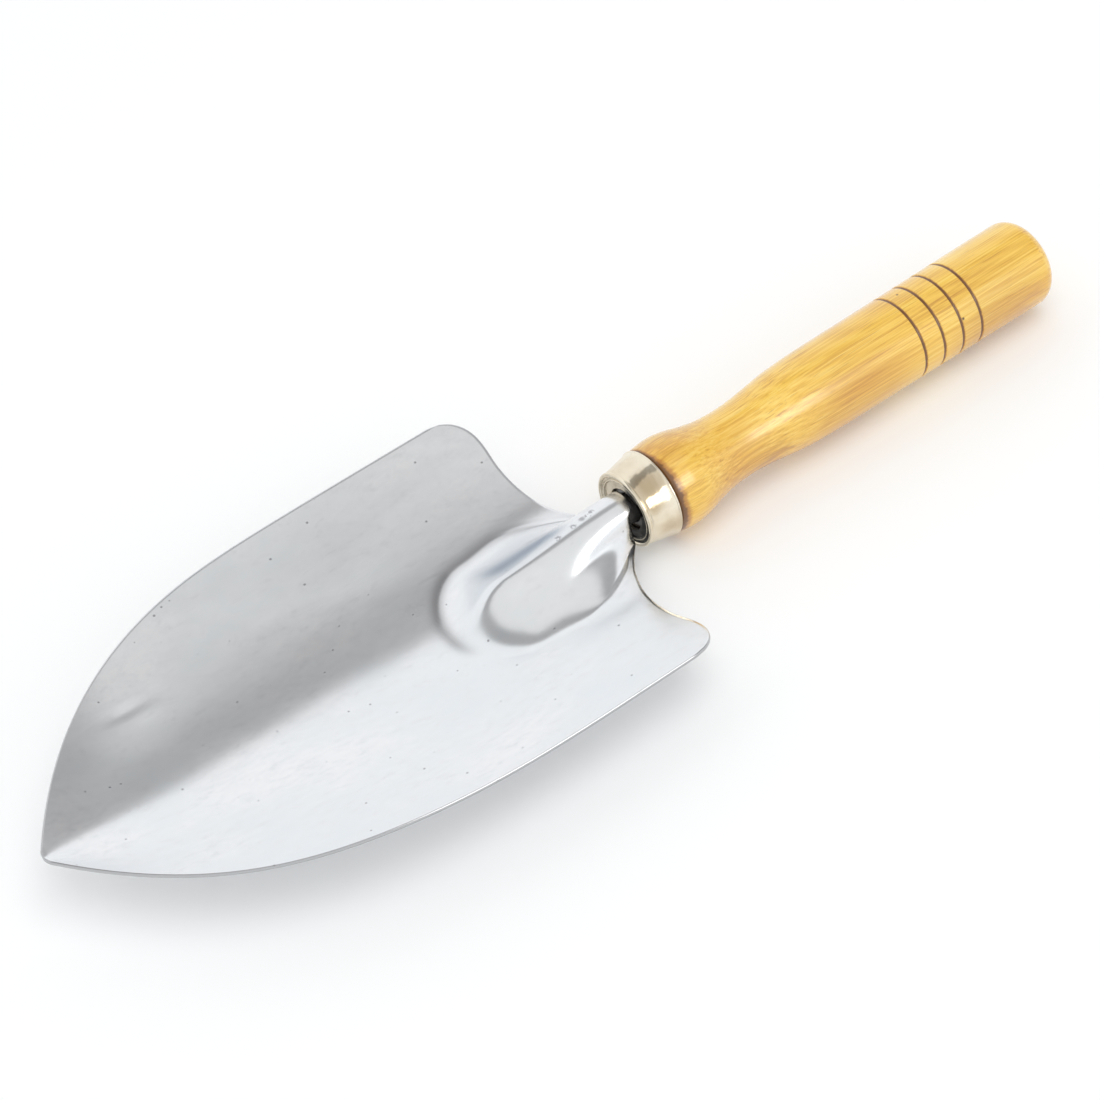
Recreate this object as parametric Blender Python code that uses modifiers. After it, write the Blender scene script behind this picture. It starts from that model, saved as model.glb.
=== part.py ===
"""Hand trowel: a pressed steel blade, its tang, a nickel ferrule and a turned wooden handle.

The handle axis lies along X with the blade tip at -X and the butt at +X. The blade is open
towards +Z and is symmetric about Y = 0. The origin is under the middle of the tool.
"""

import math

import bmesh
import bpy

MM = 0.001

# Whole tool
TIP_X = -154.6 * MM
BUTT_X = 154.9 * MM
AXIS_Z = 12.5 * MM
FERRULE_X = 15.7 * MM
FIT_GAP = 0.3 * MM

# Blade outline, with x measured from the front face of the ferrule towards the butt
SHEET = 1.0 * MM
BLADE_HALF_WIDTH = 53.7 * MM
SHOULDER_X = -21.3 * MM
TIP_POWER = 4.25
TIP_BLUNT = 0.8 * MM
TIP_ROUND = 0.5 * MM
TROUGH_DEPTH = 13.2 * MM
TROUGH_ROUNDNESS = 0.40
EDGE_HEIGHT = 5.4 * MM
EDGE_ARCH = 1.5 * MM
EDGE_ARCH_X = -108.0 * MM
EDGE_ARCH_LENGTH = 32.0 * MM
REAR_EDGE = (  # (distance from the middle, x of the rear edge)
    (5.3, -2.0),
    (7.5, -3.6),
    (10.5, -6.0),
    (13.5, -8.2),
    (20.0, -11.1),
    (27.5, -12.9),
    (35.0, -13.2),
    (42.5, -12.3),
    (47.0, -12.6),
    (50.7, -14.5),
    (53.0, -17.8),
    (53.7, -21.3),
)

# Pressed ridge over the tang
RIDGE_TOP = 5.3 * MM
RIDGE_DROP = 2.9 * MM
RIDGE_CREST = 0.08
RIDGE_FILLET = 0.25
RIDGE_NECK_RADIUS = 5.3 * MM
RIDGE_NECK_SPREAD = 0.10
RIDGE_CAP_X = -38.0 * MM
RIDGE_CAP_LENGTH = 17.0 * MM
RIDGE_FOOT = ((-0.5, 5.4), (-6.5, 8.9), (-12.5, 13.0), (-20.0, 17.0), (-28.0, 19.2), (-38.0, 18.6))
TONGUE_REACH = 0.4 * MM

# Raised floor of the trough on each side of the neck
SKIRT_HALF_WIDTH = 15.0 * MM
SKIRT_START = 0.5
SKIRT_RISE = 1.9 * MM
SKIRT_FRONT = -36.0 * MM
SKIRT_LENGTH = 20.0 * MM

# Tang
TANG_RADIUS = 4.0 * MM
TANG_FRONT = -24.1 * MM
TANG_BACK = 60.0 * MM
TANG_POINT_RADIUS = 2.0 * MM
TANG_TAPER = ((-2.0, 4.0), (-8.0, 3.6), (-15.0, 2.7), (-22.0, 1.8))  # (x, radius) under the ridge

# Ferrule
FERRULE_LENGTH = 9.2 * MM
FERRULE_WALL = 0.8 * MM
FERRULE_FRONT_RADIUS = 10.6 * MM
FERRULE_BACK_RADIUS = 12.1 * MM
FERRULE_CORNER = 1.1 * MM
FERRULE_HOLE_RADIUS = 6.3 * MM

# Handle
HANDLE_PROFILE = (  # (x from the ferrule face, radius)
    (10.4, 12.05),
    (13.0, 12.4),
    (16.0, 12.5),
    (19.5, 12.05),
    (24.0, 10.9),
    (29.0, 9.9),
    (35.0, 9.5),
    (41.0, 9.75),
    (47.0, 10.45),
    (54.0, 11.25),
    (63.0, 11.65),
    (78.0, 11.8),
    (92.0, 11.9),
    (112.0, 12.1),
    (133.0, 12.25),
)
BUTT_CORNER = 4.4 * MM
GROOVE_X = (92.1, 98.65, 105.2, 111.75)
GROOVE_HALF_WIDTH = 0.5 * MM
GROOVE_DEPTH = 0.4 * MM

RIDGE_COLUMNS = 10
SIDE_COLUMNS = 15
RIDGE_ROWS = 20
BLADE_ROWS = 22
TURN_STEPS = 64


def clear_scene():
    for obj in list(bpy.data.objects):
        bpy.data.objects.remove(obj, do_unlink=True)


def make_material(name, colour, metallic, roughness):
    material = bpy.data.materials.new(name)
    material.use_nodes = True
    shader = material.node_tree.nodes["Principled BSDF"]
    shader.inputs["Base Color"].default_value = (*colour, 1.0)
    shader.inputs["Metallic"].default_value = metallic
    shader.inputs["Roughness"].default_value = roughness
    return material


def add_object(name, mesh, collection, material):
    obj = bpy.data.objects.new(name, mesh)
    mesh.materials.append(material)
    collection.objects.link(obj)
    return obj


def smooth_curve(points, value):
    """The height at value of a smooth curve through points, which rise in their first number."""
    last = len(points) - 1
    i = 0
    while i < last - 1 and value > points[i + 1][0]:
        i += 1
    x0, y0 = points[i]
    x1, y1 = points[i + 1]
    rise = (y1 - y0) / (x1 - x0)
    before = points[i - 1] if i > 0 else None
    after = points[i + 2] if i + 2 <= last else None
    slope0 = rise if before is None else (y1 - before[1]) / (x1 - before[0])
    slope1 = rise if after is None else (after[1] - y0) / (after[0] - x0)
    t = min(max((value - x0) / (x1 - x0), 0.0), 1.0)
    a = (2 * t**3 - 3 * t**2 + 1) * y0 + (3 * t**2 - 2 * t**3) * y1
    b = (t**3 - 2 * t**2 + t) * slope0 + (t**3 - t**2) * slope1
    return a + b * (x1 - x0)


def smooth_step(t):
    t = min(max(t, 0.0), 1.0)
    return t * t * (3 - 2 * t)


def half_width(x):
    reach = TIP_X - TIP_BLUNT - FERRULE_X - SHOULDER_X
    t = min(max((x - SHOULDER_X) / reach, 0.0), 1.0)
    return BLADE_HALF_WIDTH * (1 - t**TIP_POWER)


def trough_height(x, y):
    """Height of the plain trough over the handle axis."""
    width = max(half_width(x), 0.5 * MM)
    arch = EDGE_ARCH * math.exp(-(((x - EDGE_ARCH_X) / EDGE_ARCH_LENGTH) ** 2))
    depth = TROUGH_DEPTH * width / BLADE_HALF_WIDTH
    r = TROUGH_ROUNDNESS
    t = min(abs(y) / width, 1.0)
    curve = (math.hypot(t, r) - r) / (math.hypot(1.0, r) - r)
    near = 1 - smooth_step(abs(y) / SKIRT_HALF_WIDTH - SKIRT_START)
    rise = SKIRT_RISE * near * smooth_step((x - SKIRT_FRONT) / SKIRT_LENGTH)
    return EDGE_HEIGHT + arch - depth * (1 - curve) + rise


def ridge_foot(x):
    """Half the width of the ridge where it runs out into the trough."""
    station = min(max(-x / MM, 0.5), -RIDGE_CAP_X / MM)
    foot = smooth_curve([(-a, b) for a, b in RIDGE_FOOT], station) * MM
    return foot * half_width(x) / BLADE_HALF_WIDTH


def neck_share(x):
    """1 at the neck, where the ridge wraps the tang, falling to 0 at the wide end."""
    return 1.0 - smooth_step((-x - 1.0 * MM) / (33.0 * MM))


def neck_section(c):
    """Share of the neck radius and of the ridge height, with c from 0 at the top to 1 below."""
    wall = 0.59
    if c < 0.5:
        angle = math.pi * c
        return math.sin(angle), wall + (1 - wall) * math.cos(angle)
    down = (c - 0.5) / 0.5
    return 1.0 + 0.3 * max(down - 0.8, 0.0), wall * (1 - down)


def wide_section(c, ahead):
    """Share of the ridge height at its wide end: a narrow crest, even flanks and a soft foot."""
    width = max(math.sqrt(1 - ahead**2), 0.25)
    t = min(c / width, 1.0)
    r = RIDGE_CREST
    tent = 1 - (math.hypot(t, r) - r) / (math.hypot(1.0, r) - r)
    soft = (1 + RIDGE_FILLET) * tent**2 / (tent + RIDGE_FILLET)
    return soft * 0.5 * (1 + math.cos(math.pi * ahead**1.1))


def ridge_point(x, c):
    """A point of the ridge at station x, with c from 0 at its top to 1 at its foot."""
    neck = neck_share(x)
    foot = ridge_foot(x)
    radius = RIDGE_NECK_RADIUS + RIDGE_NECK_SPREAD * max(-x - 2 * MM, 0.0)
    neck_y, neck_rise = neck_section(c)
    spread = smooth_step(2 * c - 1) * (foot - radius * 1.06)
    y = neck * (neck_y * radius + spread) + (1 - neck) * c * foot
    ahead = min(max(RIDGE_CAP_X - x, 0.0) / RIDGE_CAP_LENGTH, 1.0)
    rise = neck * neck_rise + (1 - neck) * wide_section(c, ahead)
    base = trough_height(x, y)
    top = RIDGE_TOP - RIDGE_DROP * smooth_step((-x - 4 * MM) / (38 * MM))
    return x, y, base + (top - base) * rise


def rear_x(c):
    """x of the rear edge on a side column that starts c of the way from ridge foot to side."""
    x = SHOULDER_X
    for _ in range(40):
        foot = ridge_foot(x)
        y = foot + (BLADE_HALF_WIDTH - foot) * c
        x += 0.5 * (smooth_curve(REAR_EDGE, y / MM) * MM - x)
    return x


def tongue_x(c):
    """x of the rear end of the ridge, whose top reaches just inside the ferrule."""
    wall_x = REAR_EDGE[0][1] * MM
    return TONGUE_REACH + (wall_x - TONGUE_REACH) * smooth_step((c - 0.2) / 0.2)


def row_shares():
    """Share of the way from rear edge to tip for each row, closer together on the ridge."""
    ridge_end = 0.34
    shares = [ridge_end * i / RIDGE_ROWS for i in range(RIDGE_ROWS)]
    for i in range(BLADE_ROWS + 1):
        shares.append(ridge_end + (1 - ridge_end) * i / BLADE_ROWS)
    return shares


def blade_point(place, share):
    """A point of the blade's upper face, with place 0 at the middle column and 1 at the side."""
    split = RIDGE_COLUMNS / (RIDGE_COLUMNS + SIDE_COLUMNS)
    tip = TIP_X - FERRULE_X + TIP_ROUND * place**2
    if place <= split:
        c = place / split
        start = tongue_x(c)
        return ridge_point(start + (tip - start) * share, c)
    c = (place - split) / (1 - split)
    c = 0.5 * math.sin(c * math.pi / 2) + 0.5 * c
    start = rear_x(c)
    x = start + (tip - start) * share
    foot = ridge_foot(x)
    y = foot + (half_width(x) - foot) * c
    return x, y, trough_height(x, y)


def make_blade(collection, material):
    shares = row_shares()
    columns = 2 * (RIDGE_COLUMNS + SIDE_COLUMNS)
    rows = len(shares) - 1
    bm = bmesh.new()
    bmesh.ops.create_grid(bm, x_segments=rows, y_segments=columns, size=0.5)
    for vert in bm.verts:
        row = round((0.5 - vert.co.x) * rows)
        place = 2 * round(vert.co.y * columns) / columns
        x, y, z = blade_point(abs(place), shares[row])
        vert.co = (x + FERRULE_X, y if place > 0 else -y, z + AXIS_Z)
    mesh = bpy.data.meshes.new("blade")
    bm.to_mesh(mesh)
    bm.free()
    blade = add_object("blade", mesh, collection, material)
    sheet = blade.modifiers.new("sheet", "SOLIDIFY")
    sheet.thickness = SHEET
    sheet.offset = -1.0
    sheet.use_even_offset = True
    return blade


def make_turned(name, profile, closed, collection, material):
    """Turns a profile of (x from the ferrule face, radius), listed from the butt end forwards."""
    bm = bmesh.new()
    verts = [bm.verts.new((radius, 0.0, x)) for x, radius in profile]
    for a, b in zip(verts, verts[1:]):
        bm.edges.new((a, b))
    if closed:
        bm.edges.new((verts[-1], verts[0]))
    mesh = bpy.data.meshes.new(name)
    bm.to_mesh(mesh)
    bm.free()
    obj = add_object(name, mesh, collection, material)
    obj.location = (FERRULE_X, 0.0, AXIS_Z)
    obj.rotation_euler = (0.0, math.pi / 2, 0.0)
    turn = obj.modifiers.new("turn", "SCREW")
    turn.steps = TURN_STEPS
    turn.render_steps = TURN_STEPS
    turn.use_merge_vertices = True
    turn.merge_threshold = 0.00001
    return obj


def corner(x, radius, size, start, steps):
    """Points of a quarter circle about (x, radius), from the angle start in quarter turns."""
    points = []
    for i in range(steps + 1):
        angle = (start + i / steps) * math.pi / 2
        points.append((x + size * math.cos(angle), radius + size * math.sin(angle)))
    return points


def make_tang(collection, material):
    profile = [
        (TANG_BACK, 0.0),
        (TANG_BACK, TANG_POINT_RADIUS),
        (TANG_BACK - 22.0 * MM, TANG_RADIUS),
    ]
    profile += [(x * MM, radius * MM) for x, radius in TANG_TAPER]
    profile += [
        (TANG_FRONT + 0.9 * MM, 1.5 * MM),
        (TANG_FRONT + 0.25 * MM, 1.2 * MM),
        (TANG_FRONT, 0.6 * MM),
        (TANG_FRONT, 0.0),
    ]
    return make_turned("tang", profile, False, collection, material)


def make_ferrule(collection, material):
    lip = 0.25 * MM
    back_x = FERRULE_LENGTH
    size = FERRULE_CORNER
    profile = [
        (back_x, FERRULE_BACK_RADIUS - FERRULE_WALL),
        (back_x, FERRULE_BACK_RADIUS),
        (back_x - 2 * lip, FERRULE_BACK_RADIUS + 0.4 * lip),
        (back_x - 4 * lip, FERRULE_BACK_RADIUS - 0.3 * lip),
    ]
    for x, radius in corner(size, FERRULE_FRONT_RADIUS - size, size, 1, 5):
        profile.append((x, radius))
    profile += [
        (0.0, FERRULE_HOLE_RADIUS + 0.3 * MM),
        (0.25 * MM, FERRULE_HOLE_RADIUS),
        (FERRULE_WALL, FERRULE_HOLE_RADIUS),
        (FERRULE_WALL, FERRULE_FRONT_RADIUS - FERRULE_WALL - 0.4 * MM),
        (FERRULE_WALL + 0.4 * MM, FERRULE_FRONT_RADIUS - FERRULE_WALL),
    ]
    return make_turned("ferrule", profile, True, collection, material)


def handle_side():
    """The grip from butt to collar, with its four scored grooves."""
    stations = [x for x, _ in HANDLE_PROFILE]
    between = [0.5 * (a + b) for a, b in zip(stations, stations[1:])]
    stations = [x for x in stations + between if min(abs(x - g) for g in GROOVE_X) > 1.2]
    points = [(x * MM, smooth_curve(HANDLE_PROFILE, x) * MM) for x in stations]
    for groove in GROOVE_X:
        radius = smooth_curve(HANDLE_PROFILE, groove) * MM
        for offset, depth in ((1.0, 0.0), (0.3, 1.0), (-0.3, 1.0), (-1.0, 0.0)):
            x = groove * MM + offset * GROOVE_HALF_WIDTH
            points.append((x, radius - depth * GROOVE_DEPTH))
    return sorted(points, reverse=True)


def make_handle(collection, material):
    butt_x = BUTT_X - FERRULE_X
    butt_radius = HANDLE_PROFILE[-1][1] * MM
    spigot_back = FERRULE_BACK_RADIUS - FERRULE_WALL - FIT_GAP
    spigot_front = FERRULE_FRONT_RADIUS - FERRULE_WALL - FIT_GAP
    shoulder_x = FERRULE_LENGTH + FIT_GAP
    front_x = FERRULE_WALL + FIT_GAP
    bore = TANG_RADIUS + FIT_GAP
    bore_end = TANG_BACK + FIT_GAP
    size = BUTT_CORNER
    round_end = corner(butt_x - size, butt_radius - size, size, 0, 6)
    profile = [(butt_x, 0.0)] + round_end + handle_side()
    profile += [
        (shoulder_x + 0.35 * MM, HANDLE_PROFILE[0][1] * MM - 0.25 * MM),
        (shoulder_x, HANDLE_PROFILE[0][1] * MM - 0.7 * MM),
        (shoulder_x, spigot_back),
        (front_x + 0.6 * MM, spigot_front),
        (front_x, spigot_front - 0.8 * MM),
        (front_x, bore),
        (bore_end, bore),
        (bore_end, 0.0),
    ]
    return make_turned("handle", profile, False, collection, material)


def main():
    clear_scene()
    tool = bpy.data.collections.new("hand_trowel")
    bpy.context.scene.collection.children.link(tool)
    plated = make_material("plated_steel", (0.78, 0.79, 0.81), 1.0, 0.25)
    raw = make_material("raw_steel", (0.12, 0.12, 0.12), 1.0, 0.5)
    nickel = make_material("nickel", (0.80, 0.76, 0.68), 1.0, 0.12)
    wood = make_material("varnished_wood", (0.76, 0.50, 0.18), 0.0, 0.3)
    make_blade(tool, plated)
    make_tang(tool, raw)
    make_ferrule(tool, nickel)
    make_handle(tool, wood)


main()
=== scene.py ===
"""Studio picture of the hand trowel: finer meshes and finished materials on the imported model."""

import math

import bpy
import numpy as np
from mathutils import Matrix, Vector


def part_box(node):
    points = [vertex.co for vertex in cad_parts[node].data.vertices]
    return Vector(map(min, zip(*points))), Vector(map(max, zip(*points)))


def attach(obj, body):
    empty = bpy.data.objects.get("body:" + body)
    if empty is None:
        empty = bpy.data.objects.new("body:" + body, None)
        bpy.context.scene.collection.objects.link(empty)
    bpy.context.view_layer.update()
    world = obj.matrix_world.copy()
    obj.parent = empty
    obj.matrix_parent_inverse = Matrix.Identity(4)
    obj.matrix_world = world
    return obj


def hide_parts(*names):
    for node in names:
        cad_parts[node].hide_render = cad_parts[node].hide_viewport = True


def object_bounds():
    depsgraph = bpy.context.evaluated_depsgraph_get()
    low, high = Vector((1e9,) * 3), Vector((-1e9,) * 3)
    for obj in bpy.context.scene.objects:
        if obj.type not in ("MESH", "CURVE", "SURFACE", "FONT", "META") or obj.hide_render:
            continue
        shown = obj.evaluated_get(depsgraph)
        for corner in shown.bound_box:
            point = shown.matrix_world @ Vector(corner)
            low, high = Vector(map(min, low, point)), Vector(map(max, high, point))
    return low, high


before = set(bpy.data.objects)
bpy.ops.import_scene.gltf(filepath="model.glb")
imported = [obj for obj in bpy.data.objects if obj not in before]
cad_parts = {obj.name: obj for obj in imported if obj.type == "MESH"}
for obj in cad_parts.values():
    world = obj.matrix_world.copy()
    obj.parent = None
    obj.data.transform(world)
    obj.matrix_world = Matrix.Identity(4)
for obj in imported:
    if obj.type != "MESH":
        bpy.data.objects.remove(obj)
cad_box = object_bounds()

MM = 0.001
FACE_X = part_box("ferrule")[0].x
AXIS_Z = 0.5 * (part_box("handle")[0].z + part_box("handle")[1].z)
BUTT_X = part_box("handle")[1].x - FACE_X

# Blade, in metres with x measured from the ferrule's front face towards the butt. Rows of
# points are in mm from there.
SHEET = 1.0 * MM
RIM_BULGE = 0.22 * MM
RIM_STEPS = 6
HALF_WIDTH = 53.7 * MM
SHOULDER_X = -21.3 * MM
TIP_X = -170.3 * MM
TIP_BLUNT = 0.8 * MM
TIP_ROUND = 0.5 * MM
TIP_POWER = 4.25
TROUGH_DEPTH = 13.2 * MM
TROUGH_ROUNDNESS = 0.40
EDGE_HEIGHT = 5.4 * MM
EDGE_ARCH = 1.5 * MM
EDGE_ARCH_X = -108.0 * MM
EDGE_ARCH_LENGTH = 32.0 * MM
REAR_EDGE = (  # (y, x) from the neck out to the shoulder
    (5.3, -2.0),
    (7.5, -3.6),
    (10.5, -6.0),
    (13.5, -8.2),
    (20.0, -11.1),
    (27.5, -12.9),
    (35.0, -13.2),
    (42.5, -12.3),
    (47.0, -12.6),
    (50.7, -14.5),
    (53.0, -17.8),
    (53.7, -21.3),
)
RIDGE_TOP = 5.3 * MM
RIDGE_DROP = 2.9 * MM
RIDGE_CREST = 0.08
RIDGE_FILLET = 0.25
RIDGE_DROP_START, RIDGE_DROP_LENGTH = 4.0 * MM, 38.0 * MM
NECK_RADIUS = 5.3 * MM
NECK_SPREAD = 0.10
NECK_WALL = 0.59
NECK_FOOT = 1.06
NECK_START, NECK_LENGTH = 1.0 * MM, 33.0 * MM
CAP_X = -38.0 * MM
CAP_LENGTH = 17.0 * MM
# (distance ahead of the ferrule's face, half width where the blade is widest)
RIDGE_FOOT = ((0.5, 5.4), (6.5, 8.9), (12.5, 13.0), (20.0, 17.0), (28.0, 19.2), (38.0, 18.6))
TONGUE_REACH = 0.4 * MM
SKIRT_HALF_WIDTH = 15.0 * MM
SKIRT_START = 0.5
SKIRT_RISE = 1.9 * MM
SKIRT_FRONT = -36.0 * MM
SKIRT_LENGTH = 20.0 * MM
DENTS = (  # (x, y, length, width, depth), dips in the sheet
    (-132.5, 27.5, 5.5, 1.3, 0.13),
    (-127.0, 25.5, 4.0, 2.0, -0.06),
    (-96.0, -30.0, 14.0, 9.0, 0.10),
    (-62.0, 33.0, 16.0, 10.0, -0.12),
    (-120.0, -12.0, 12.0, 8.0, 0.08),
    (-84.0, 8.0, 15.0, 6.0, 0.08),
)
# Ends of a painted reflection, a blue-grey streak on the ridge's +Y flank
REFLECTION_STREAK_START, REFLECTION_STREAK_END = (-14.0, 3.4), (-43.0, 6.9)  # (x, y), ends of the blue-grey streak
NECK_PITS = (  # (x, y, z)
    (-9.2, 1.2, 4.9),
    (-10.6, 0.7, 5.0),
    (-12.2, 1.0, 4.8),
    (-15.3, 0.6, 4.5),
    (-20.3, 0.4, 4.0),
)
PIT_SIZE = 1.3  # mm
RIDGE_COLUMNS, SIDE_COLUMNS = 24, 32
RIDGE_ROWS, BLADE_ROWS = 66, 92
RIDGE_ROWS_SHARE = 0.34

# Ferrule and tang
FERRULE_LENGTH = 9.2 * MM
WALL = 0.8 * MM
FRONT_RADIUS = 10.6 * MM
BACK_RADIUS = 12.1 * MM
HOLE_RADIUS = 5.85 * MM
FACE_BACK = 1.5 * MM
BEAD_RADIUS = 0.55 * MM
# Tarnish patches on the ferrule's -Y side, which also paint in dark reflections there
TARNISH_AND_REFLECTION_PATCHES = (  # ((x, y, z), size)
    ((4.5, -5.4, 10.2), 6.5),
    ((3.0, -9.0, 6.6), 4.0),
    ((6.5, -11.5, -2.5), 5.0),
)
TANG_RADIUS = 4.0 * MM
TANG_BACK = 60.0 * MM
TANG_FRONT = -24.1 * MM
TANG_END_BEVEL = 22.0 * MM
TANG_TAPER = ((-2.0, 4.0), (-8.0, 3.6), (-15.0, 2.7), (-22.0, 1.8))  # (x, radius)
FIT_GAP = 0.3 * MM

# Handle
HANDLE_PROFILE = (  # (x, radius)
    (10.4, 12.05),
    (13.0, 12.4),
    (16.0, 12.5),
    (19.5, 12.05),
    (24.0, 10.9),
    (29.0, 9.9),
    (35.0, 9.5),
    (41.0, 9.75),
    (47.0, 10.45),
    (54.0, 11.25),
    (63.0, 11.65),
    (78.0, 11.8),
    (92.0, 11.9),
    (112.0, 12.1),
    (133.0, 12.25),
)
BUTT_CORNER = 4.4 * MM
BUTT_DOME = 0.25 * MM
SPIGOT_FRONT = 1.8 * MM
WOOD_PATCHES = (  # ((x, y, z), size, strength), browner places in the wood
    ((33.0, -9.0, -6.0), 20.0, 0.75),
    ((14.0, 2.0, 12.5), 11.0, 0.55),
    ((70.0, -11.0, -6.0), 26.0, 0.65),
    ((118.0, -10.5, -7.0), 24.0, 0.70),
    ((24.0, 4.0, 9.0), 9.0, 0.40),
)
WOOD_STAINS = (  # ((x, y, z), size, low and high of the blotches, strength, colour)
    ((44.0, -8.0, -6.5), 12.0, (0.46, 0.62), 0.65, (0.36, 0.13, 0.03)),
    ((131.0, -10.5, -4.5), 13.0, (0.42, 0.66), 0.45, (0.52, 0.22, 0.06)),
)
KNOTS = (((106.0, -10.8, 5.5), 0.6), ((95.5, 3.0, 11.5), 0.5))  # ((x, y, z), size)
GROOVE_X = (92.1, 98.65, 105.2, 111.75)  # this and the next three in mm
GROOVE_HALF_WIDTH = 0.55
GROOVE_DEPTH = 0.42
PROFILE_STEP = 0.7
TURN_STEPS = 160

# Camera
CAMERA_AZIMUTH = -32.47
CAMERA_ELEVATION = 45.17
CAMERA_ROLL = -7.83
CAMERA_DISTANCE = 0.763
CAMERA_LENS = 100.5
SENSOR_WIDTH = 36.0
CLIP_START, CLIP_END = 0.05, 30.0
TARGET = (-0.0221, 0.00196, 0.0)  # from the ferrule's face, on the handle axis

# Finishes: tints are stops of (position, colour), marks are (attribute, share, colour), and
# roughness runs from its first value to its second as the noise behind it goes over NOISE_RANGE
NOISE_RANGE = (0.3, 0.7)
STEEL_TINTS = ((0.32, (0.765, 0.80, 0.83)), (0.68, (0.865, 0.86, 0.875)))
STEEL_MARKS = (
    # Painted reflection: the blue-grey streak on the ridge's flank
    ("reflection_streak", 0.95, (0.29, 0.345, 0.42)),
    # Painted shade round the ridge's foot
    ("foot", 0.85, (0.40, 0.40, 0.41)),
    ("rim", 0.75, (0.36, 0.36, 0.37)),
)
STEEL_MOTTLE, STEEL_DULL = (0.80, 0.81, 0.83), (0.68, 0.69, 0.71)
STEEL_SPECK = (0.30, 0.30, 0.32)
STEEL_ROUGHNESS = (0.17, 0.24)
RAW_TINTS = ((0.3, (0.09, 0.085, 0.08)), (0.55, (0.17, 0.165, 0.16)), (0.75, (0.26, 0.25, 0.24)))
RAW_ROUGHNESS = (0.38, 0.62)
NICKEL_TINTS = ((0.3, (0.74, 0.64, 0.48)), (0.55, (0.87, 0.79, 0.64)), (0.75, (0.91, 0.87, 0.78)))
# The tarnish colour also paints dark reflections on the ferrule
NICKEL_TARNISH_AND_REFLECTION, NICKEL_STAIN = (0.56, 0.45, 0.30), (0.50, 0.42, 0.31)
# Painted shade for the -Y side of the ferrule's recessed front face
NICKEL_PAINTED_SHADE = (0.022, 0.020, 0.018)
NICKEL_ROUGHNESS = (0.11, 0.20)
# Where the front face is marked, and where its painted shade starts on the -Y side
FACE_REACH = (9.75 * MM, 9.45 * MM)
FACE_DEPTH = (0.22 * MM, 0.45 * MM)
PAINTED_SHADE_SIDE = (3.6 * MM, 0.6 * MM)
WOOD_TINTS = (
    (0.36, (0.50, 0.22, 0.022)),
    (0.45, (0.74, 0.41, 0.042)),
    (0.54, (0.88, 0.545, 0.072)),
    (0.68, (0.94, 0.67, 0.16)),
)
WOOD_WARM, WOOD_BROWN = (0.80, 0.40, 0.035), (0.50, 0.20, 0.03)
WOOD_FLECK, WOOD_KNOT = (0.42, 0.16, 0.025), (0.10, 0.04, 0.01)
# Burnt colours, which also paint shade at the shoulder against the ferrule
BURN_AND_SHADE_EDGE, BURN_AND_SHADE_CORE = (0.42, 0.155, 0.022), (0.165, 0.060, 0.006)
# Painted shade for the wood inside the ferrule, and where it ends
HIDDEN_WOOD_SHADE = (0.030, 0.018, 0.010)
HIDDEN_X = (8.0 * MM, 7.0 * MM)
WOOD_ROUGHNESS = (0.30, 0.46)
COAT_ROUGHNESS = 0.14
PITH_Y, PITH_Z = -0.018, -0.034  # metres, where x is 0
PITH_SLOPE = 0.10
RING_TURN = 3600.0  # radians per metre

# Room, as seen from the tool: across is y and along is x, both over height. Bands run from
# where they start to where they are full. Lights are (place, size, radiance, colour), with the
# place measured from the ferrule's face.
FLOOR_SIZE = 6.0
FLOOR_DROP = 0.2 * MM
FLOOR_COLOUR = (0.84, 0.845, 0.85, 1.0)
FLOOR_GLOW = 0.12
WORLD_STRENGTH = 1.04
WALL_COLOUR = (0.985, 0.995, 1.0)
GAP_COLOUR = (0.41, 0.41, 0.41)
PANEL_COLOUR = (0.86, 0.86, 0.85)
GAP_PLUS_Y, GAP_MINUS_Y, GAP_HEIGHT = (0.41, 0.31), (-1.45, -1.00), (0.35, 0.50)
PANEL_EDGE, PANEL_END = (-0.03, -0.11), (0.78, 0.50)
ROOM_LEAN = 0.6
LEAN_END = 0.45
LOWEST_HEIGHT = 0.05
FILL_LIGHT = ((0.05, -0.25, 1.4), (1.4, 1.1), 1.3, (1.0, 1.0, 1.0))
SIDE_LIGHT = ((0.245, -0.89, 0.59), (0.55, 0.48), 4.0, (1.0, 0.99, 0.97))


def smooth_step(t):
    t = min(max(t, 0.0), 1.0)
    return t * t * (3 - 2 * t)


def smooth_curve(points, value):
    """The height at value of a smooth curve through points, which rise in their first number."""
    last = len(points) - 1
    i = 0
    while i < last - 1 and value > points[i + 1][0]:
        i += 1
    x0, y0 = points[i]
    x1, y1 = points[i + 1]
    rise = (y1 - y0) / (x1 - x0)
    before = points[i - 1] if i > 0 else None
    after = points[i + 2] if i + 2 <= last else None
    slope0 = rise if before is None else (y1 - before[1]) / (x1 - before[0])
    slope1 = rise if after is None else (after[1] - y0) / (after[0] - x0)
    t = min(max((value - x0) / (x1 - x0), 0.0), 1.0)
    a = (2 * t**3 - 3 * t**2 + 1) * y0 + (3 * t**2 - 2 * t**3) * y1
    b = (t**3 - 2 * t**2 + t) * slope0 + (t**3 - t**2) * slope1
    return a + b * (x1 - x0)


# Blade


def half_width(x):
    t = min(max((x - SHOULDER_X) / (TIP_X - TIP_BLUNT - SHOULDER_X), 0.0), 1.0)
    return HALF_WIDTH * (1 - t**TIP_POWER)


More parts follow.
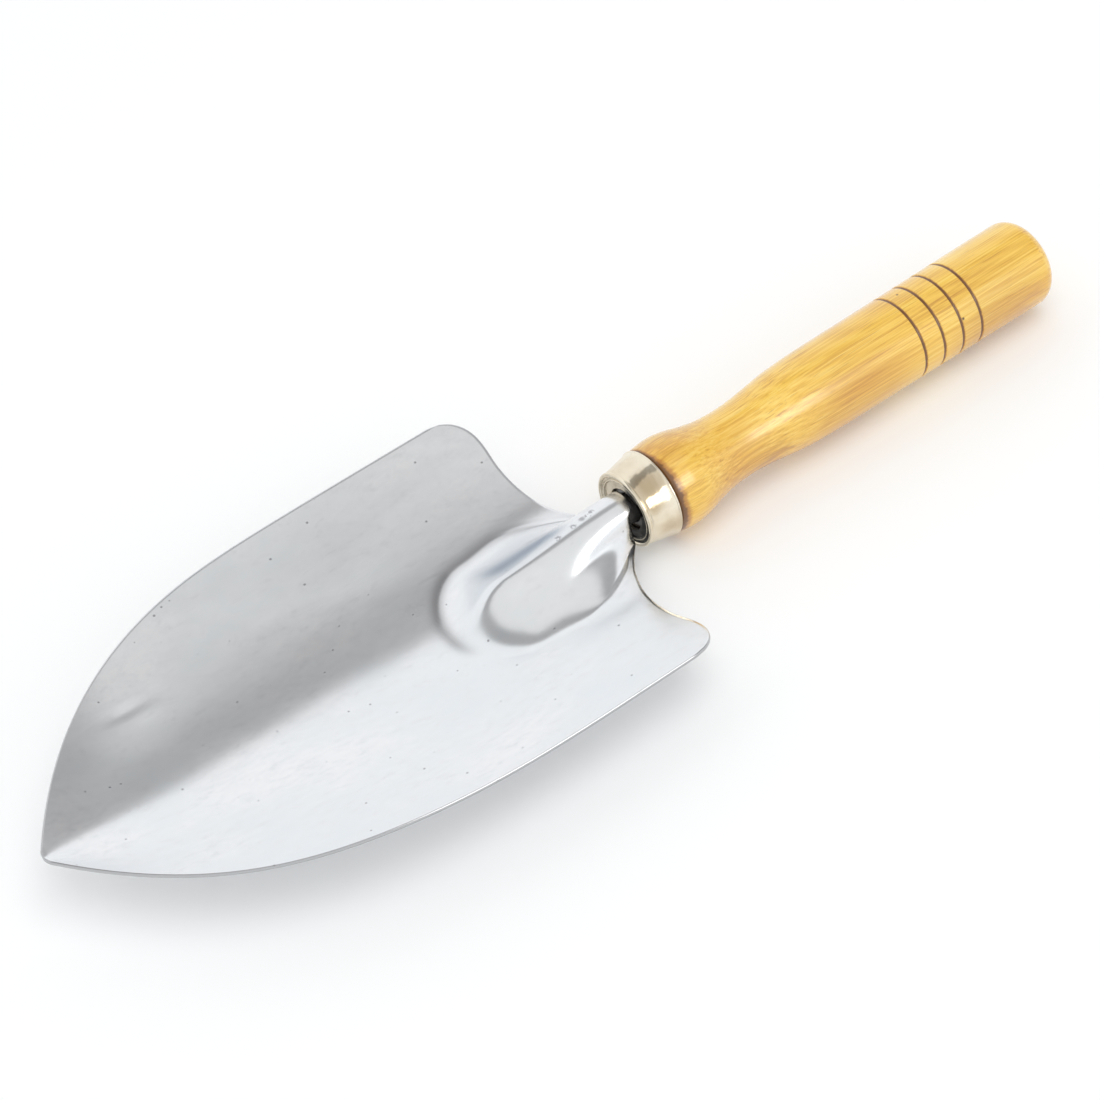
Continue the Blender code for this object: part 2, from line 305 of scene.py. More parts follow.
def trough_height(x, y):
    width = max(half_width(x), 0.5 * MM)
    arch = EDGE_ARCH * math.exp(-(((x - EDGE_ARCH_X) / EDGE_ARCH_LENGTH) ** 2))
    depth = TROUGH_DEPTH * width / HALF_WIDTH
    r = TROUGH_ROUNDNESS
    t = min(abs(y) / width, 1.0)
    curve = (math.hypot(t, r) - r) / (math.hypot(1.0, r) - r)
    near = 1 - smooth_step(abs(y) / SKIRT_HALF_WIDTH - SKIRT_START)
    rise = SKIRT_RISE * near * smooth_step((x - SKIRT_FRONT) / SKIRT_LENGTH)
    return EDGE_HEIGHT + arch - depth * (1 - curve) + rise


def dent_depth(x, y):
    depth = 0.0
    for dent_x, dent_y, length, width, dip in DENTS:
        away = ((x / MM - dent_x) / length) ** 2 + ((y / MM - dent_y) / width) ** 2
        depth += dip * MM * math.exp(-away)
    return depth


def ridge_foot(x):
    station = min(max(-x / MM, 0.5), -CAP_X / MM)
    return smooth_curve(RIDGE_FOOT, station) * MM * half_width(x) / HALF_WIDTH


def neck_section(c):
    """Share of the neck radius and of the ridge height, with c from 0 at the top to 1 below."""
    if c < 0.5:
        return math.sin(math.pi * c), NECK_WALL + (1 - NECK_WALL) * math.cos(math.pi * c)
    down = (c - 0.5) / 0.5
    return 1.0 + 0.3 * max(down - 0.8, 0.0), NECK_WALL * (1 - down)


def wide_section(c, ahead):
    """Share of the ridge height at its wide end: a narrow crest, even flanks and a soft foot."""
    width = max(math.sqrt(1 - ahead**2), 0.25)
    t = min(c / width, 1.0)
    r = RIDGE_CREST
    tent = 1 - (math.hypot(t, r) - r) / (math.hypot(1.0, r) - r)
    soft = (1 + RIDGE_FILLET) * tent**2 / (tent + RIDGE_FILLET)
    return soft * 0.5 * (1 + math.cos(math.pi * ahead**1.1))


def ridge_point(x, c):
    """A point of the ridge at station x, with c from 0 at its top to 1 at its foot."""
    neck = 1.0 - smooth_step((-x - NECK_START) / NECK_LENGTH)
    foot = ridge_foot(x)
    radius = NECK_RADIUS + NECK_SPREAD * max(-x - 2 * MM, 0.0)
    neck_y, neck_rise = neck_section(c)
    spread = smooth_step(2 * c - 1) * (foot - radius * NECK_FOOT)
    y = neck * (neck_y * radius + spread) + (1 - neck) * c * foot
    ahead = min(max(CAP_X - x, 0.0) / CAP_LENGTH, 1.0)
    rise = neck * neck_rise + (1 - neck) * wide_section(c, ahead)
    base = trough_height(x, y)
    top = RIDGE_TOP - RIDGE_DROP * smooth_step((-x - RIDGE_DROP_START) / RIDGE_DROP_LENGTH)
    return x, y, base + (top - base) * rise


def rear_x(c):
    """x of the rear edge on a side column that starts c of the way from ridge foot to side."""
    x = SHOULDER_X
    for _ in range(40):
        foot = ridge_foot(x)
        x += 0.5 * (smooth_curve(REAR_EDGE, (foot + (HALF_WIDTH - foot) * c) / MM) * MM - x)
    return x


def tongue_x(c):
    wall_x = REAR_EDGE[0][1] * MM
    return TONGUE_REACH + (wall_x - TONGUE_REACH) * smooth_step((c - 0.2) / 0.2)


def half_column(step, shares):
    """Points down one column on the +Y half, with step 0 at the middle."""
    place = step / (RIDGE_COLUMNS + SIDE_COLUMNS)
    tip = TIP_X + TIP_ROUND * place**2
    if step <= RIDGE_COLUMNS:
        c = step / RIDGE_COLUMNS
        start = tongue_x(c)
        return [ridge_point(start + (tip - start) * share, c) for share in shares]
    c = (step - RIDGE_COLUMNS) / SIDE_COLUMNS
    c = 0.5 * math.sin(c * math.pi / 2) + 0.5 * c
    start = rear_x(c)
    points = []
    for share in shares:
        x = start + (tip - start) * share
        foot = ridge_foot(x)
        y = foot + (half_width(x) - foot) * c
        points.append((x, y, trough_height(x, y)))
    return points


def sheet_grid():
    """The blade's upper face as an array of rows from rear to tip and columns from -Y to +Y."""
    end = RIDGE_ROWS_SHARE
    shares = [end * i / RIDGE_ROWS for i in range(RIDGE_ROWS)]
    shares += [end + (1 - end) * i / BLADE_ROWS for i in range(BLADE_ROWS + 1)]
    half = [half_column(step, shares) for step in range(RIDGE_COLUMNS + SIDE_COLUMNS + 1)]
    columns = [[(x, -y, z) for x, y, z in column] for column in half[:0:-1]] + half
    grid = np.array(columns).transpose(1, 0, 2)
    for row in grid:
        for point in row:
            point[2] -= dent_depth(point[0], point[1])
    return grid


def unit(vectors):
    return vectors / np.maximum(np.linalg.norm(vectors, axis=-1, keepdims=True), 1e-12)


def shell(grid):
    """Vertices and faces of a sheet of even thickness under grid, with a rounded rim."""
    rows, columns = grid.shape[:2]
    normal = unit(np.cross(np.gradient(grid, axis=1), np.gradient(grid, axis=0)))
    under = grid - normal * SHEET
    count = rows * columns
    index = np.arange(count).reshape(rows, columns)
    a, b, c, d = index[:-1, :-1], index[:-1, 1:], index[1:, 1:], index[1:, :-1]
    top = np.stack([a, b, c, d], axis=-1).reshape(-1, 4)
    faces = [top, top[:, ::-1] + count]
    loop = np.concatenate([index[0, :-1], index[:-1, -1], index[-1, :0:-1], index[:0:-1, 0]])
    edge = grid.reshape(-1, 3)[loop]
    up = normal.reshape(-1, 3)[loop]
    out = unit(np.cross(np.roll(edge, -1, 0) - np.roll(edge, 1, 0), up))
    verts = [grid.reshape(-1, 3), under.reshape(-1, 3)]
    rings = [loop]
    for k in range(1, RIM_STEPS):
        angle = math.pi * k / RIM_STEPS
        drop = 0.5 * SHEET * (1 - math.cos(angle))
        verts.append(edge + out * RIM_BULGE * math.sin(angle) - up * drop)
        rings.append(2 * count + (k - 1) * len(loop) + np.arange(len(loop)))
    rings.append(loop + count)
    for high, low in zip(rings, rings[1:]):
        faces.append(np.stack([high, low, np.roll(low, -1), np.roll(high, -1)], axis=-1))
    return np.concatenate(verts), np.concatenate(faces)


# Turned pieces


def turned(profile, closed):
    """Vertices and faces of a profile of (x, radius), turned about the handle axis."""
    turns = np.arange(TURN_STEPS) * 2 * math.pi / TURN_STEPS
    verts, rings, faces = [], [], []
    for x, radius in profile:
        if radius <= 0:
            rings.append([len(verts)] * TURN_STEPS)
            verts.append((x, 0.0, 0.0))
            continue
        rings.append(list(range(len(verts), len(verts) + TURN_STEPS)))
        verts += [(x, radius * math.cos(t), radius * math.sin(t)) for t in turns]
    pairs = list(zip(rings, rings[1:]))
    if closed:
        pairs.append((rings[-1], rings[0]))
    for near, far in pairs:
        for i in range(TURN_STEPS):
            j = (i + 1) % TURN_STEPS
            face = [near[i], near[j], far[j], far[i]]
            faces.append(tuple(dict.fromkeys(face)))
    return verts, faces


def arc(x, radius, size, start, end, steps):
    """Points round (x, radius) from the angle start to end, in quarter turns from +X."""
    points = []
    for i in range(steps + 1):
        angle = (start + (end - start) * i / steps) * math.pi / 2
        points.append((x + size * math.cos(angle), radius + size * math.sin(angle)))
    return points


def groove_dip(x):
    """How deep the four grooves cut at station x, in mm."""
    dip = 0.0
    for groove in GROOVE_X:
        away = abs(x - groove) / GROOVE_HALF_WIDTH
        if away < 1:
            dip = max(dip, GROOVE_DEPTH * math.cos(away * math.pi / 2) ** 0.8)
    return dip


def handle_profile():
    stations = list(np.arange(HANDLE_PROFILE[0][0], BUTT_X / MM - 6.0, PROFILE_STEP))
    for groove in GROOVE_X:
        stations = [x for x in stations if abs(x - groove) > 0.8]
        stations += [groove + offset for offset in np.linspace(-0.7, 0.7, 15)]
    stations.sort(reverse=True)
    side = [(x * MM, (smooth_curve(HANDLE_PROFILE, x) - groove_dip(x)) * MM) for x in stations]
    butt_radius = HANDLE_PROFILE[-1][1] * MM
    size = BUTT_CORNER
    profile = [(BUTT_X, 0.0), (BUTT_X, 3 * MM), (BUTT_X - 0.2 * BUTT_DOME, 6 * MM)]
    profile += arc(BUTT_X - size, butt_radius - size, size, 0.06, 1, 14)
    profile += side
    shoulder = FERRULE_LENGTH + FIT_GAP
    lip = HANDLE_PROFILE[0][1] * MM
    profile += [(shoulder + 0.45 * MM, lip - 0.16 * MM), (shoulder + 0.15 * MM, lip - 0.5 * MM)]
    profile += [(shoulder, lip - 1.0 * MM), (shoulder, BACK_RADIUS - WALL - FIT_GAP)]
    profile += [(2.4 * MM, FRONT_RADIUS - WALL - FIT_GAP), (SPIGOT_FRONT, FRONT_RADIUS - 1.9 * MM)]
    bore = TANG_RADIUS + FIT_GAP
    bore_end = TANG_BACK + FIT_GAP
    return profile + [(SPIGOT_FRONT, bore), (bore_end, bore), (bore_end, 0.0)]


def ferrule_profile():
    """The drawn cup's section, from the back edge forwards along the outside and back inside."""
    back = FERRULE_LENGTH
    front = FRONT_RADIUS
    bead = BEAD_RADIUS
    slope = (BACK_RADIUS - front) / (back - 1.7 * MM)
    profile = [(back, BACK_RADIUS - WALL), (back, BACK_RADIUS - 0.1 * MM)]
    profile += arc(back - 0.3 * MM, BACK_RADIUS - 0.2 * MM, 0.3 * MM, 0.2, 1.8, 8)
    for x in np.linspace(back - 0.9 * MM, 1.75 * MM, 9):
        profile.append((x, front + slope * (x - 1.7 * MM) - 0.03 * MM))
    profile += [(1.5 * MM, front - 0.08 * MM), (1.32 * MM, front - 0.3 * MM)]
    profile.append((1.1 * MM, front - 0.36 * MM))
    profile += arc(bead, front - bead, bead, 0.35, 2.9, 16)
    profile += [(0.62 * MM, front - 1.3 * MM), (0.66 * MM, front - 1.5 * MM)]
    profile += arc(0.56 * MM, front - 2.0 * MM, 0.26 * MM, 1.0, 3.0, 8)
    profile += [(0.78 * MM, front - 2.5 * MM), (0.80 * MM, HOLE_RADIUS + 0.9 * MM)]
    profile += [(0.72 * MM, HOLE_RADIUS + 0.45 * MM), (0.80 * MM, HOLE_RADIUS + 0.12 * MM)]
    profile += [(1.0 * MM, HOLE_RADIUS), (FACE_BACK, HOLE_RADIUS)]
    profile += [(FACE_BACK, front - WALL - 0.4 * MM), (FACE_BACK + 0.4 * MM, front - WALL)]
    return profile


def tang_profile():
    profile = [(TANG_BACK, 0.0), (TANG_BACK, 2 * MM), (TANG_BACK - TANG_END_BEVEL, TANG_RADIUS)]
    profile += [(x * MM, radius * MM) for x, radius in TANG_TAPER]
    nose = 0.9 * MM
    profile += arc(TANG_FRONT + nose, 0.6 * MM, nose, 1.0, 2.0, 6)
    return profile + [(TANG_FRONT, 0.0)]


# Objects


def make_piece(name, verts, faces, node, material, crease):
    """A smooth shaded piece that stands for a CAD node, set on the ferrule's face and the axis."""
    mesh = bpy.data.meshes.new(name)
    place = np.array(verts) + np.array((FACE_X, 0.0, AXIS_Z))
    mesh.from_pydata(place.tolist(), [], [tuple(int(i) for i in face) for face in faces])
    corners = np.array([v.co for v in mesh.vertices])
    volume = 0.0
    for polygon in mesh.polygons:
        a, b, c = (corners[i] for i in polygon.vertices[:3])
        volume += polygon.area * np.dot(polygon.normal, (a + b + c) / 3)
    if volume < 0:
        mesh.flip_normals()
    mesh.polygons.foreach_set("use_smooth", [True] * len(mesh.polygons))
    mesh.set_sharp_from_angle(angle=math.radians(crease))
    mesh.materials.append(material)
    obj = bpy.data.objects.new(name, mesh)
    bpy.context.scene.collection.objects.link(obj)
    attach(obj, "root")
    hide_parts(node)
    return obj


def blade_marks(x, y):
    """Painted reflection as a blue-grey streak on the ridge's +Y flank, and painted shade round
    its foot, at x and y in mm.
    """
    # Painted reflection: a blue-grey streak that widens towards the tip
    along = (REFLECTION_STREAK_START[0] - x) / (REFLECTION_STREAK_START[0] - REFLECTION_STREAK_END[0])
    reflection_streak = 0.0
    if 0.0 < along < 1.0:
        middle = REFLECTION_STREAK_START[1] + (REFLECTION_STREAK_END[1] - REFLECTION_STREAK_START[1]) * along
        width = 1.6 + 3.4 * along
        ends = smooth_step(along / 0.25) * smooth_step((1 - along) / 0.3)
        reflection_streak = math.exp(-(((y - middle) / width) ** 2)) * ends
    # Painted shade round the ridge's foot, mostly round its front and along its +Y flank
    ahead = max(CAP_X / MM - x, 0.0) * MM / CAP_LENGTH
    foot = 0.0
    if ahead < 1.3 and x < -10.0:
        reach = math.hypot(y * MM / ridge_foot(x * MM), ahead)
        beside = 0.75 * smooth_step((-11.0 - x) / 9.0) * smooth_step((y - 3.0) / 6.0)
        share = max(smooth_step(ahead / 0.4), beside) * smooth_step((y + 10) / 10)
        foot = math.exp(-(((reach - 1.0) / 0.10) ** 2)) * share
    return reflection_streak, foot


def add_marks(obj, rim_start):
    """Painted reflection streak, painted shade round the ridge's foot and darker rim of the blade,
    as vertex values.
    """
    streaks, foot_shades, rims = [], [], []
    for vert in obj.data.vertices:
        reflection_streak, foot = blade_marks((vert.co.x - FACE_X) / MM, vert.co.y / MM)
        streaks.append(reflection_streak)
        foot_shades.append(foot)
        rims.append(1.0 if vert.index >= rim_start else 0.0)
    for name, values in (("reflection_streak", streaks), ("foot", foot_shades), ("rim", rims)):
        layer = obj.data.attributes.new(name, "FLOAT", "POINT")
        layer.data.foreach_set("value", values)


def add_scorch_and_shade(obj):
    """Burnt colour in the grooves, and burnt colour that also paints shade at the shoulder against
    the ferrule, as a vertex value.
    """
    burn_and_shade = []
    for vert in obj.data.vertices:
        x = (vert.co.x - FACE_X) / MM
        radius = math.hypot(vert.co.y, vert.co.z - AXIS_Z) / MM
        value = min(groove_dip(x) / (0.8 * GROOVE_DEPTH), 1.0) ** 1.5
        lower = smooth_step((4.0 * MM - vert.co.y) / (12.0 * MM))
        # Painted shade in the burnt colour where the shoulder meets the ferrule, wider towards -Y
        if x < 14.0:
            value = max(value, 1 - smooth_step((x - 9.5) / (1.1 + 2.6 * lower)))
        # Painted shade on the wood that runs in under the ferrule
        if x < 12.0:
            value = max(value, smooth_step((11.6 - radius) / 0.4))
        if x > BUTT_X / MM - 5.0:
            value = max(value, 0.42 * math.exp(-(((radius - 9.0) / 0.7) ** 2)))
        burn_and_shade.append(value)
    layer = obj.data.attributes.new("scorch_and_shade", "FLOAT", "POINT")
    layer.data.foreach_set("value", burn_and_shade)


# Materials


def add_node(tree, kind, inputs=None, **settings):
    made = tree.nodes.new("ShaderNode" + kind)
    for key, value in settings.items():
        setattr(made, key, value)
    for key, value in (inputs or {}).items():
        if isinstance(value, bpy.types.NodeSocket):
            tree.links.new(value, made.inputs[key])
        else:
            made.inputs[key].default_value = value
    return made


def math_of(tree, operation, a, b=0.0, c=0.0):
    return add_node(tree, "Math", {0: a, 1: b, 2: c}, operation=operation).outputs[0]


def times(tree, a, b):
    return math_of(tree, "MULTIPLY", a, b)


def plus(tree, a, b):
    return math_of(tree, "ADD", a, b)


def length_of(tree, a, b):
    """Length of the vector (a, b)."""
    squares = plus(tree, math_of(tree, "POWER", a, 2.0), math_of(tree, "POWER", b, 2.0))
    return math_of(tree, "SQRT", squares)


def noise_of(tree, coords, scale, detail=4.0, roughness=0.5, distortion=0.0):
    """Noise with its own scale along each axis, in features per metre."""
    spot = add_node(tree, "Mapping", {"Vector": coords, "Scale": scale}).outputs[0]
    inputs = {"Vector": spot, "Scale": 1.0, "Detail": detail, "Roughness": roughness}
    inputs["Distortion"] = distortion
    return add_node(tree, "TexNoise", inputs).outputs[0]


def band_of(tree, value, low, high):
    """0 below low, 1 above high and smooth between; the other way round where low is over high."""
    ends = (low, high, 0.0, 1.0) if low <= high else (high, low, 1.0, 0.0)
    inputs = {"Value": value}
    inputs.update(zip(("From Min", "From Max", "To Min", "To Max"), ends))
    return add_node(tree, "MapRange", inputs, interpolation_type="SMOOTHSTEP").outputs[0]


def ramp_of(tree, value, stops):
    made = add_node(tree, "ValToRGB", {0: value})
    ramp = made.color_ramp
    while len(ramp.elements) < len(stops):
        ramp.elements.new(0.5)
    for element, (position, colour) in zip(ramp.elements, stops):
        element.position = position
        element.color = (*colour, 1.0)
    return made.outputs[0]


def mix_of(tree, share, a, b):
    made = add_node(tree, "Mix", data_type="RGBA", blend_type="MIX")
    for slot, value in ((0, share), (6, a), (7, b)):
        if isinstance(value, bpy.types.NodeSocket):
            tree.links.new(value, made.inputs[slot])
        else:
            made.inputs[slot].default_value = (*value, 1.0)
    return made.outputs[2]


def spot_of(tree, coords, place, size):
    """1 near place and 0 further than size from it, in mm, from the ferrule's face and axis."""
    centre = (place[0] * MM + FACE_X, place[1] * MM, place[2] * MM + AXIS_Z)
    inputs = {0: coords, 1: centre}
    away = add_node(tree, "VectorMath", inputs, operation="DISTANCE").outputs["Value"]
    return band_of(tree, away, size * MM, 0.25 * size * MM)


def bump_of(tree, height, strength, distance, normal=None):
    inputs = {"Height": height, "Strength": strength, "Distance": distance}
    if normal is not None:
        inputs["Normal"] = normal
    return add_node(tree, "Bump", inputs).outputs[0]


def start_material(name):
    material = bpy.data.materials.new(name)
    material.use_nodes = True
    tree = material.node_tree
    coords = add_node(tree, "TexCoord").outputs["Object"]
    return material, tree, tree.nodes["Principled BSDF"], coords


def finish_surface(tree, shader, colour, rough, span, normal):
    """Link colour, normal and a roughness that runs over span as rough goes over its range."""
    source, (low, high), (smooth, matt) = *rough, span
    inputs = {0: source, 1: low, 2: high, 3: smooth, 4: matt}
    tree.links.new(colour, shader.inputs["Base Color"])
    tree.links.new(add_node(tree, "MapRange", inputs).outputs[0], shader.inputs["Roughness"])
    tree.links.new(normal, shader.inputs["Normal"])


def plated_steel():
    material, tree, shader, coords = start_material("plated_steel_finish")
    shader.inputs["Metallic"].default_value = 1.0
    cloud = noise_of(tree, coords, (26, 38, 38), detail=6, roughness=0.62)
    mottle = noise_of(tree, coords, (240, 420, 420), detail=4, roughness=0.7)
    colour = ramp_of(tree, cloud, STEEL_TINTS)
    colour = mix_of(tree, band_of(tree, mottle, 0.35, 0.70), colour, STEEL_MOTTLE)
    dull = times(tree, band_of(tree, mottle, 0.56, 0.72), 0.25)
    colour = mix_of(tree, dull, colour, STEEL_DULL)
    cells = add_node(tree, "TexVoronoi", {"Vector": coords, "Scale": 360.0})
    rare = add_node(tree, "SeparateColor", {0: cells.outputs["Color"]}).outputs[0]
    dot = band_of(tree, cells.outputs["Distance"], 0.15, 0.07)
    speck = times(tree, dot, band_of(tree, rare, 0.86, 0.92))
    ragged = band_of(tree, noise_of(tree, coords, (900, 900, 900), detail=2), 0.42, 0.50)
    for pit in NECK_PITS:
        near = times(tree, spot_of(tree, coords, pit, PIT_SIZE), ragged)
        speck = math_of(tree, "MAXIMUM", speck, near)
    colour = mix_of(tree, times(tree, speck, 0.7), colour, STEEL_SPECK)
    for name, share, shade in STEEL_MARKS:
        value = add_node(tree, "Attribute", attribute_name=name).outputs["Fac"]
        colour = mix_of(tree, times(tree, value, share), colour, shade)
    haze = noise_of(tree, coords, (35, 60, 60), detail=5)
    grain = noise_of(tree, coords, (500, 1600, 1600), detail=3, roughness=0.6)
    fine = bump_of(tree, grain, 0.10, 0.00003)
    pits = bump_of(tree, times(tree, speck, -1.0), 0.35, 0.00005, fine)
    wave = noise_of(tree, coords, (28, 45, 45), detail=2)
    normal = bump_of(tree, wave, 0.25, 0.0006, pits)
    finish_surface(tree, shader, colour, (haze, NOISE_RANGE), STEEL_ROUGHNESS, normal)
    return material


def raw_steel():
    material, tree, shader, coords = start_material("raw_steel_finish")
    shader.inputs["Metallic"].default_value = 1.0
    scale = noise_of(tree, coords, (120, 260, 260), detail=6, roughness=0.65)
    colour = ramp_of(tree, scale, RAW_TINTS)
    normal = bump_of(tree, scale, 0.3, 0.0001)
    finish_surface(tree, shader, colour, (scale, (0.0, 1.0)), RAW_ROUGHNESS, normal)
    return material


def nickel():
    material, tree, shader, coords = start_material("nickel_finish")
    shader.inputs["Metallic"].default_value = 1.0
    tarnish = noise_of(tree, coords, (140, 90, 90), detail=4, distortion=0.4)
    colour = ramp_of(tree, tarnish, NICKEL_TINTS)
    thick = band_of(tree, tarnish, 0.75, 0.35)
    # Tarnish blotches that also paint in dark reflections on the -Y side
    for place, size in TARNISH_AND_REFLECTION_PATCHES:
        patch = times(tree, spot_of(tree, coords, place, size), thick)
        colour = mix_of(tree, patch, colour, NICKEL_TARNISH_AND_REFLECTION)
    # The recessed front face is stained, and painted black on its -Y side as painted shade
    x, y, z = add_node(tree, "SeparateXYZ", {0: coords}).outputs
    reach = length_of(tree, y, math_of(tree, "SUBTRACT", z, AXIS_Z))
    inside = band_of(tree, reach, *FACE_REACH)
    face = times(tree, inside, band_of(tree, x, *(FACE_X + depth for depth in FACE_DEPTH)))
    blotch = noise_of(tree, coords, (500, 260, 260), detail=3)
    side = math_of(tree, "MULTIPLY_ADD", blotch, 4.0 * MM, y)
    painted_shade = times(tree, face, band_of(tree, side, *PAINTED_SHADE_SIDE))
    colour = mix_of(tree, times(tree, face, 0.45), colour, NICKEL_STAIN)
    colour = mix_of(tree, painted_shade, colour, NICKEL_PAINTED_SHADE)
    streaks = noise_of(tree, coords, (1800, 160, 160), detail=4, roughness=0.6)
    drawn = bump_of(tree, streaks, 0.06, 0.00003)
    soft = noise_of(tree, coords, (110, 110, 110), detail=3)
    normal = bump_of(tree, soft, 0.7, 0.0006, drawn)
    finish_surface(tree, shader, colour, (streaks, NOISE_RANGE), NICKEL_ROUGHNESS, normal)
    return material


def wood_rings(tree, coords):
    """Growth rings about a pith line below the handle, bent by slow noise."""
    bend = noise_of(tree, coords, (9, 22, 22), detail=2)
    split = add_node(tree, "SeparateXYZ", {0: coords}).outputs
    y = plus(tree, plus(tree, split[1], -PITH_Y), times(tree, bend, 0.006))
    z = plus(tree, plus(tree, split[2], -PITH_Z), times(tree, split[0], PITH_SLOPE))
    bent = plus(tree, length_of(tree, y, z), times(tree, bend, 0.004))
    wave = math_of(tree, "SINE", times(tree, bent, RING_TURN))
    return math_of(tree, "MULTIPLY_ADD", wave, 0.5, 0.5)


def wood_burn_and_shade(tree, coords, colour):
    """Scorched colour: a ragged brown edge round a dark core, which also paints shade at the
    shoulder, and painted shade on the wood inside the ferrule.
    """
    burn_and_shade = add_node(tree, "Attribute", attribute_name="scorch_and_shade").outputs["Fac"]
    ragged = noise_of(tree, coords, (260, 900, 900), detail=4, roughness=0.65)
    burn_and_shade = math_of(tree, "MULTIPLY_ADD", ragged, 0.9, burn_and_shade)
    edge = times(tree, band_of(tree, burn_and_shade, 0.50, 1.00), 0.8)
    colour = mix_of(tree, edge, colour, BURN_AND_SHADE_EDGE)
    colour = mix_of(tree, band_of(tree, burn_and_shade, 1.00, 1.32), colour, BURN_AND_SHADE_CORE)
    # Painted shade on the wood inside the ferrule
    x = add_node(tree, "SeparateXYZ", {0: coords}).outputs[0]
    inside_shade = band_of(tree, x, *(FACE_X + ahead for ahead in HIDDEN_X))
    return mix_of(tree, inside_shade, colour, HIDDEN_WOOD_SHADE)


def varnished_wood():
    material, tree, shader, coords = start_material("varnished_wood_finish")
    fibre = noise_of(tree, coords, (11, 1800, 1800), detail=5, roughness=0.70)
    lines = noise_of(tree, coords, (22, 2300, 2300), detail=2)
    broad = noise_of(tree, coords, (14, 60, 60), detail=3, distortion=0.5)
    tone = times(tree, wood_rings(tree, coords), 0.05)
    for part, share in ((fibre, 0.46), (broad, 0.24), (lines, 0.34)):
        tone = plus(tree, tone, times(tree, part, share))
    colour = ramp_of(tree, tone, WOOD_TINTS)
    warm = band_of(tree, noise_of(tree, coords, (20, 50, 50), detail=2), 0.46, 0.70)
    colour = mix_of(tree, times(tree, warm, 0.45), colour, WOOD_WARM)
    dark_fibre = band_of(tree, fibre, 0.75, 0.35)
    for place, size, share in WOOD_PATCHES:
        patch = times(tree, times(tree, spot_of(tree, coords, place, size), share), dark_fibre)
        colour = mix_of(tree, patch, colour, WOOD_BROWN)
    flecks = noise_of(tree, coords, (120, 2900, 2900), detail=2, roughness=0.4)
    many = noise_of(tree, coords, (45, 160, 160), detail=2)
    fleck = times(tree, band_of(tree, flecks, 0.60, 0.68), band_of(tree, many, 0.40, 0.60))
    colour = mix_of(tree, times(tree, fleck, 0.40), colour, WOOD_FLECK)
    blotch = noise_of(tree, coords, (130, 700, 700), detail=4)
    for place, size, (low, high), share, shade in WOOD_STAINS:
        stain = times(tree, spot_of(tree, coords, place, size), band_of(tree, blotch, low, high))
        colour = mix_of(tree, times(tree, stain, share), colour, shade)
    knots = plus(tree, *(spot_of(tree, coords, place, size) for place, size in KNOTS))
    colour = mix_of(tree, knots, colour, WOOD_KNOT)
    colour = wood_burn_and_shade(tree, coords, colour)
    pores = math_of(tree, "SUBTRACT", fibre, times(tree, fleck, 0.5))
    normal = bump_of(tree, pores, 0.22, 0.00012)
    finish_surface(tree, shader, colour, (fibre, NOISE_RANGE), WOOD_ROUGHNESS, normal)
    shader.inputs["Coat Weight"].default_value = 1.0
    shader.inputs["Coat Roughness"].default_value = COAT_ROUGHNESS
    skin = plus(tree, fibre, noise_of(tree, coords, (90, 420, 420), detail=3))
    tree.links.new(bump_of(tree, skin, 0.20, 0.00012), shader.inputs["Coat Normal"])
    return material


# Studio


def aim(obj, place, target):
    obj.location = place
    obj.rotation_euler = (Vector(target) - Vector(place)).to_track_quat("-Z", "Y").to_euler()


def add_panel(name, place, size, radiance, colour):
    """A soft area light at place from the ferrule's face, facing it."""
    light = bpy.data.lights.new(name, "AREA")
    light.shape = "RECTANGLE"
    light.size, light.size_y = size
    light.energy = radiance * math.pi * size[0] * size[1]
    light.color = colour
    obj = bpy.data.objects.new(name, light)
    bpy.context.scene.collection.objects.link(obj)
    middle = Vector((FACE_X, 0.0, AXIS_Z))
    aim(obj, middle + Vector(place), middle)
    obj.visible_camera = False
    return obj


def make_world():
    """A pale room with a mid-tone panel overhead and a dark gap beside it, along the tool."""
    world = bpy.data.worlds.new("studio")
    bpy.context.scene.world = world
    world.use_nodes = True
    tree = world.node_tree
    direction = add_node(tree, "TexCoord").outputs["Generated"]
    x, y, z = add_node(tree, "SeparateXYZ", {0: direction}).outputs
    height = math_of(tree, "MAXIMUM", z, LOWEST_HEIGHT)
    along = math_of(tree, "DIVIDE", x, height)
    across = math_of(tree, "DIVIDE", y, height)
    lean = math_of(tree, "MINIMUM", math_of(tree, "MAXIMUM", along, 0.0), LEAN_END)
    across = math_of(tree, "SUBTRACT", across, times(tree, lean, ROOM_LEAN))
    gap = times(tree, band_of(tree, across, *GAP_PLUS_Y), band_of(tree, across, *GAP_MINUS_Y))
    gap = times(tree, gap, band_of(tree, z, *GAP_HEIGHT))
    panel = times(tree, band_of(tree, across, *PANEL_EDGE), band_of(tree, along, *PANEL_END))
    colour = mix_of(tree, gap, WALL_COLOUR, mix_of(tree, panel, GAP_COLOUR, PANEL_COLOUR))
    tree.links.new(colour, tree.nodes["Background"].inputs["Color"])
    tree.nodes["Background"].inputs["Strength"].default_value = WORLD_STRENGTH


